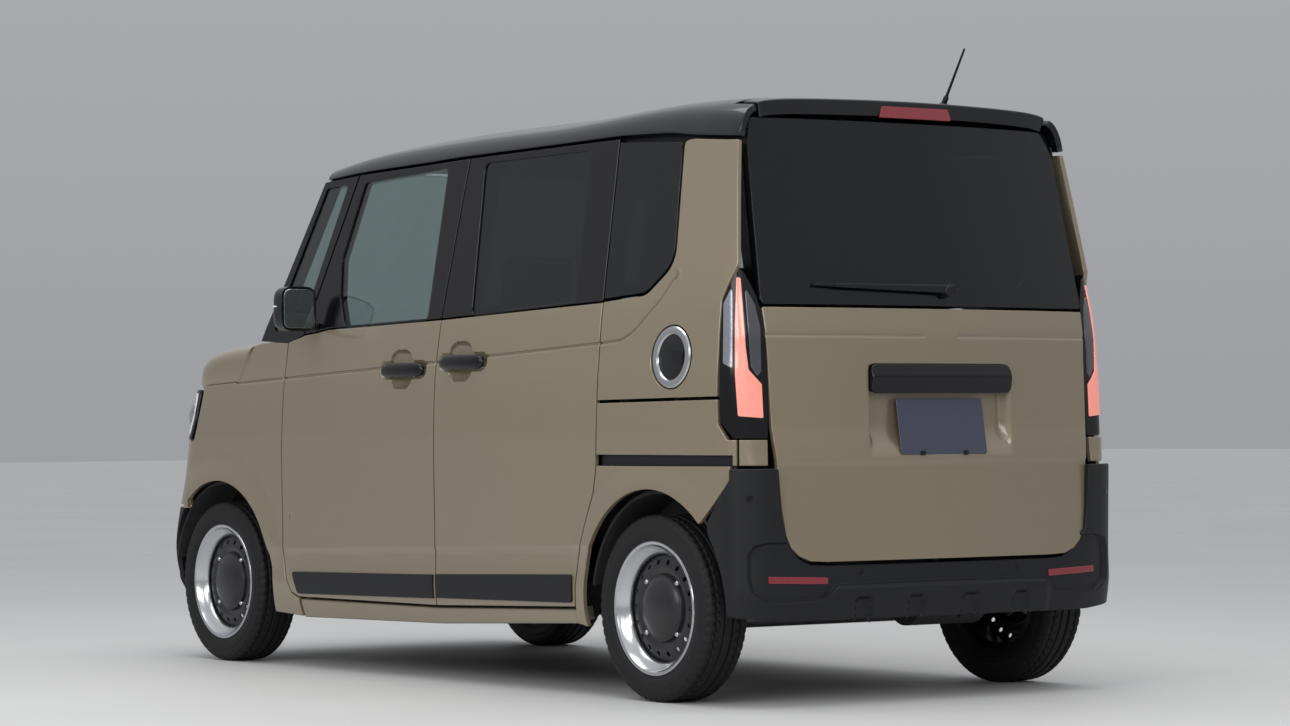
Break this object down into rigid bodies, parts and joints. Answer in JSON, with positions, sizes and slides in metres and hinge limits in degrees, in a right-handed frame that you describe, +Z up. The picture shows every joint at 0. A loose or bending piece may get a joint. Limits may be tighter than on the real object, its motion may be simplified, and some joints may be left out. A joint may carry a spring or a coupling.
{
  "type": "boxy five-door kei van",
  "caption": "Tall boxy kei van, khaki body with black roof and dark rear glass, front doors, tailgate, bonnet and fuel lid on hinges, steered wheels",
  "frame": {"origin": "on the ground, at the middle of the length and of the width", "axes": "+X forward, +Y to the left side of the car, +Z up"},
  "size_m": [3.395, 1.795, 1.9242],
  "materials": {
    "paint": "gloss",
    "roof_black": "gloss",
    "gloss_black": "gloss",
    "black_plastic": "matt grain",
    "lid_metal": "satin",
    "clear_glass": "polished",
    "dark_glass": "polished",
    "lamp_clear": "polished",
    "lamp_red": "polished",
    "seat_cloth": "woven",
    "cabin_plastic": "matt grain",
    "underbody": "satin",
    "steel": "dull",
    "plate_metal": "satin",
    "tyre_rubber": "matt",
    "wheel_black": "satin"
  },
  "bodies": {
    "body": {"sills": "paint", "fenders": "paint", "quarter_panels": "paint", "nose_panel": "paint", "sliding_doors": "paint", "roof": "roof_black", "pillars": "roof_black", "grille": "gloss_black", "front_bumper": "black_plastic", "rear_bumper": "black_plastic", "cowl": "black_plastic", "wheel_houses": "black_plastic", "sliding_door_trim": "black_plastic", "aerial": "black_plastic", "fuel_tank": "black_plastic", "windscreen": "clear_glass", "fixed_side_glass": "dark_glass", "headlamps": "lamp_clear", "tail_lamps": "lamp_red", "front_seats": "seat_cloth", "rear_seat": "seat_cloth", "dashboard": "cabin_plastic", "floor_pan": "underbody", "engine": "steel", "front_suspension": "steel", "rear_axle": "steel", "exhaust": "steel"},
    "front_left_door": {"front_door_left": "paint", "door_glass_left": "clear_glass", "door_trim_left": "black_plastic", "mirror_left": "gloss_black"},
    "front_right_door": {"front_door_right": "paint", "door_glass_right": "clear_glass", "door_trim_right": "black_plastic", "mirror_right": "gloss_black"},
    "tailgate_body": {"tailgate": "paint", "tailgate_glass": "dark_glass", "handle_garnish": "gloss_black", "plate": "plate_metal", "rear_wiper": "black_plastic", "spoiler": "roof_black"},
    "bonnet_body": {"bonnet": "paint"},
    "fuel_lid_body": {"fuel_lid": "lid_metal"},
    "steering_wheel_body": {"steering_wheel": "black_plastic"},
    "left_knuckle": {"knuckle_left": "steel"},
    "right_knuckle": {"knuckle_right": "steel"},
    "front_left_wheel": {"tyre_front_left": "tyre_rubber", "wheel_front_left": "wheel_black"},
    "front_right_wheel": {"tyre_front_right": "tyre_rubber", "wheel_front_right": "wheel_black"},
    "rear_left_wheel": {"tyre_rear_left": "tyre_rubber", "wheel_rear_left": "wheel_black"},
    "rear_right_wheel": {"tyre_rear_right": "tyre_rubber", "wheel_rear_right": "wheel_black"}
  },
  "joints": [
    {"name": "front_left_door_hinge", "type": "hinge", "parent": "body", "child": "front_left_door", "pos_m": [0.8175, 0.7255, 0.7], "axis": [0, 0, -1], "range_deg": [0, 70]},
    {"name": "front_right_door_hinge", "type": "hinge", "parent": "body", "child": "front_right_door", "pos_m": [0.8175, -0.7255, 0.7], "axis": [0, 0, 1], "range_deg": [0, 70]},
    {"name": "tailgate_hinge", "type": "hinge", "parent": "body", "child": "tailgate_body", "pos_m": [-1.5275, 0, 1.738], "axis": [0, 1, 0], "range_deg": [0, 80]},
    {"name": "bonnet_hinge", "type": "hinge", "parent": "body", "child": "bonnet_body", "pos_m": [1.0655, 0, 1.07], "axis": [0, -1, 0], "range_deg": [0, 55]},
    {"name": "fuel_lid_hinge", "type": "hinge", "parent": "body", "child": "fuel_lid_body", "pos_m": [-1.2565, 0.72651, 1.00663], "axis": [0, 0.075, -0.9972], "range_deg": [0, 85]},
    {"name": "steer_left", "type": "hinge", "parent": "body", "child": "left_knuckle", "pos_m": [1.2875, 0.61, 0.19], "axis": [0, -0.2419, 0.9703], "range_deg": [-35, 35]},
    {"name": "steer_right", "type": "hinge", "parent": "body", "child": "right_knuckle", "pos_m": [1.2875, -0.61, 0.19], "axis": [0, 0.2419, 0.9703], "range_deg": [-35, 35]},
    {"name": "steering_wheel_turn", "type": "hinge", "parent": "body", "child": "steering_wheel_body", "pos_m": [0.5975, -0.32, 0.925], "axis": [-0.9397, 0, 0.342], "range_deg": [-525, 525]},
    {"name": "front_left_wheel_spin", "type": "hinge", "parent": "left_knuckle", "child": "front_left_wheel", "pos_m": [1.2875, 0.6525, 0.274], "axis": [0, 1, 0], "continuous": true},
    {"name": "front_right_wheel_spin", "type": "hinge", "parent": "right_knuckle", "child": "front_right_wheel", "pos_m": [1.2875, -0.6525, 0.274], "axis": [0, 1, 0], "continuous": true},
    {"name": "rear_left_wheel_spin", "type": "hinge", "parent": "body", "child": "rear_left_wheel", "pos_m": [-1.2325, 0.6525, 0.274], "axis": [0, 1, 0], "continuous": true},
    {"name": "rear_right_wheel_spin", "type": "hinge", "parent": "body", "child": "rear_right_wheel", "pos_m": [-1.2325, -0.6525, 0.274], "axis": [0, 1, 0], "continuous": true}
  ],
  "couplings": [
    {"joint": "steer_right", "follows": "steer_left", "ratio": 1},
    {"joint": "steering_wheel_turn", "follows": "steer_left", "ratio": 15}
  ]
}
